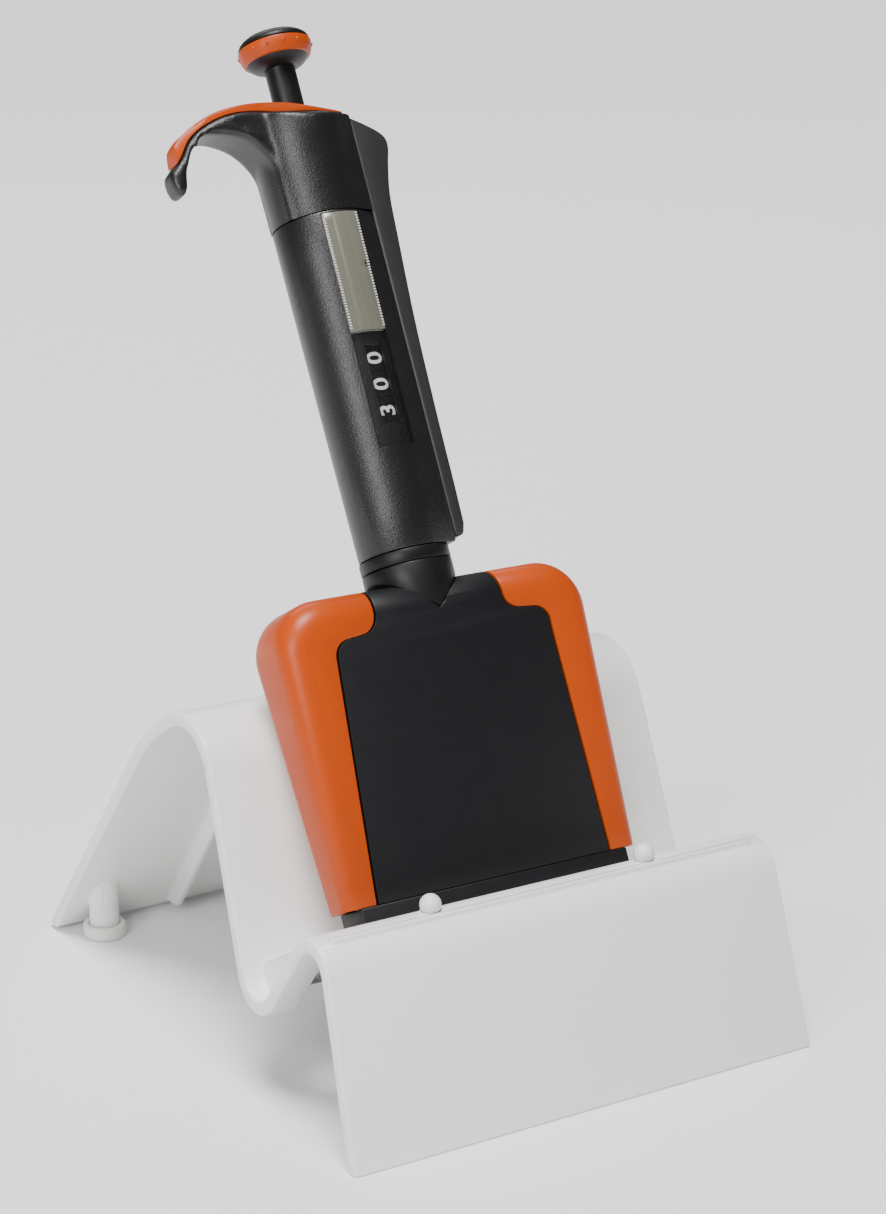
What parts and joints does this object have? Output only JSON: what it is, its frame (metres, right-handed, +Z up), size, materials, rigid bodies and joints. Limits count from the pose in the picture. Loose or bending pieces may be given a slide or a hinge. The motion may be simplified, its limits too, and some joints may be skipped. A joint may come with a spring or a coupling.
{
  "type": "pipette set",
  "caption": "Multichannel hand pipette with a finger hook, volume ring and wide head, leaning in a bent-sheet bench stand.",
  "frame": {"origin": "middle of the bounding box on the bench", "axes": "+Z up, -Y towards the user in front of the stand, +X to the user's right"},
  "size_m": [0.135, 0.1712, 0.2482],
  "materials": {
    "stand_white": "satin moulded",
    "cover_orange": "satin moulded",
    "body_black": "fine grained",
    "panel_black": "smooth satin",
    "lever_grey": "smooth satin",
    "wheel_black": "smooth",
    "window_clear": "polished",
    "label_grey": "satin",
    "label_card": "printed card",
    "cone_grey": "satin",
    "seal_rubber": "matte",
    "steel": "ground",
    "spring_steel": "drawn wire"
  },
  "bodies": {
    "stand": {"stand_shell": "stand_white", "locating_pegs": "stand_white", "rear_foot_caps": "stand_white"},
    "head": {"head_frame": "body_black", "head_front_cover": "panel_black", "head_rear_cover": "panel_black", "left_side_cover": "cover_orange", "right_side_cover": "cover_orange", "cylinder_block": "panel_black", "cover_screws": "steel", "swivel_collar": "body_black", "swivel_clip": "steel", "tip_cone_1": "cone_grey", "tip_cone_2": "cone_grey", "tip_cone_3": "cone_grey", "tip_cone_4": "cone_grey", "tip_cone_5": "cone_grey", "tip_cone_6": "cone_grey", "tip_cone_7": "cone_grey", "tip_cone_8": "cone_grey", "return_springs": "spring_steel", "ejector_spring": "spring_steel"},
    "ejector_set": {"ejector_plate": "panel_black", "ejector_rods": "steel", "ejector_sleeve": "label_grey"},
    "piston_carrier": {"piston_bar": "label_grey", "push_rod": "steel", "piston_1": "steel", "piston_2": "steel", "piston_3": "steel", "piston_4": "steel", "piston_5": "steel", "piston_6": "steel", "piston_7": "steel", "piston_8": "steel", "piston_seals": "seal_rubber"},
    "handle": {"handle_grip": "body_black", "top_housing": "body_black", "hook_inlay": "cover_orange", "counter_window": "window_clear", "label_plate": "label_grey", "label_card": "label_card", "counter_frame": "label_grey", "primary_spring": "spring_steel"},
    "ejector_lever": {"ejector_lever": "lever_grey"},
    "plunger": {"operating_rod": "steel", "stop_washer": "steel", "drag_spring": "spring_steel"},
    "volume_knob": {"plunger_rod": "body_black", "button_dish": "body_black", "volume_ring": "cover_orange", "button_cap": "body_black"},
    "wheel_lower": {"digit_wheel_lower": "wheel_black"},
    "wheel_middle": {"digit_wheel_middle": "wheel_black"},
    "wheel_upper": {"digit_wheel_upper": "wheel_black"}
  },
  "joints": [
    {"name": "lift_out", "type": "slide", "parent": "stand", "child": "head", "axis": [0, 0.4772, 0.8788], "range_m": [0, 0.08]},
    {"name": "handle_swivel", "type": "hinge", "parent": "head", "child": "handle", "pos_m": [-0.0025, 0.00304, 0.12369], "axis": [0, 0.4772, 0.8788], "continuous": true},
    {"name": "plunger_press", "type": "slide", "parent": "handle", "child": "plunger", "axis": [0, -0.4772, -0.8788], "range_m": [0, 0.01], "stiffness_N_per_m": 350, "springref_m": -0.006, "deforming": ["primary_spring"]},
    {"name": "volume_turn", "type": "hinge", "parent": "plunger", "child": "volume_knob", "pos_m": [-0.0025, 0.06507, 0.23794], "axis": [0, 0.4772, 0.8788], "continuous": true},
    {"name": "ejector_press", "type": "slide", "parent": "handle", "child": "ejector_lever", "axis": [0, -0.4772, -0.8788], "range_m": [0, 0.007], "stiffness_N_per_m": 400, "springref_m": -0.005},
    {"name": "ejector_slide", "type": "slide", "parent": "head", "child": "ejector_set", "axis": [0, -0.4772, -0.8788], "range_m": [0, 0.007], "deforming": ["ejector_spring"]},
    {"name": "piston_slide", "type": "slide", "parent": "head", "child": "piston_carrier", "axis": [0, -0.4772, -0.8788], "range_m": [0, 0.01], "deforming": ["return_springs"]},
    {"name": "wheel_lower_turn", "type": "hinge", "parent": "handle", "child": "wheel_lower", "pos_m": [-0.0025, 0.01817, 0.15155], "axis": [0, 0.4772, 0.8788], "continuous": true},
    {"name": "wheel_middle_turn", "type": "hinge", "parent": "handle", "child": "wheel_middle", "pos_m": [-0.0025, 0.02151, 0.1577], "axis": [0, 0.4772, 0.8788], "continuous": true},
    {"name": "wheel_upper_turn", "type": "hinge", "parent": "handle", "child": "wheel_upper", "pos_m": [-0.0025, 0.02485, 0.16386], "axis": [0, 0.4772, 0.8788], "continuous": true}
  ],
  "couplings": [
    {"joint": "ejector_slide", "follows": "ejector_press", "ratio": 1},
    {"joint": "piston_slide", "follows": "plunger_press", "ratio": 1},
    {"joint": "wheel_lower_turn", "follows": "volume_turn", "ratio": 1},
    {"joint": "wheel_middle_turn", "follows": "volume_turn", "ratio": 0.1},
    {"joint": "wheel_upper_turn", "follows": "volume_turn", "ratio": 0.01}
  ]
}
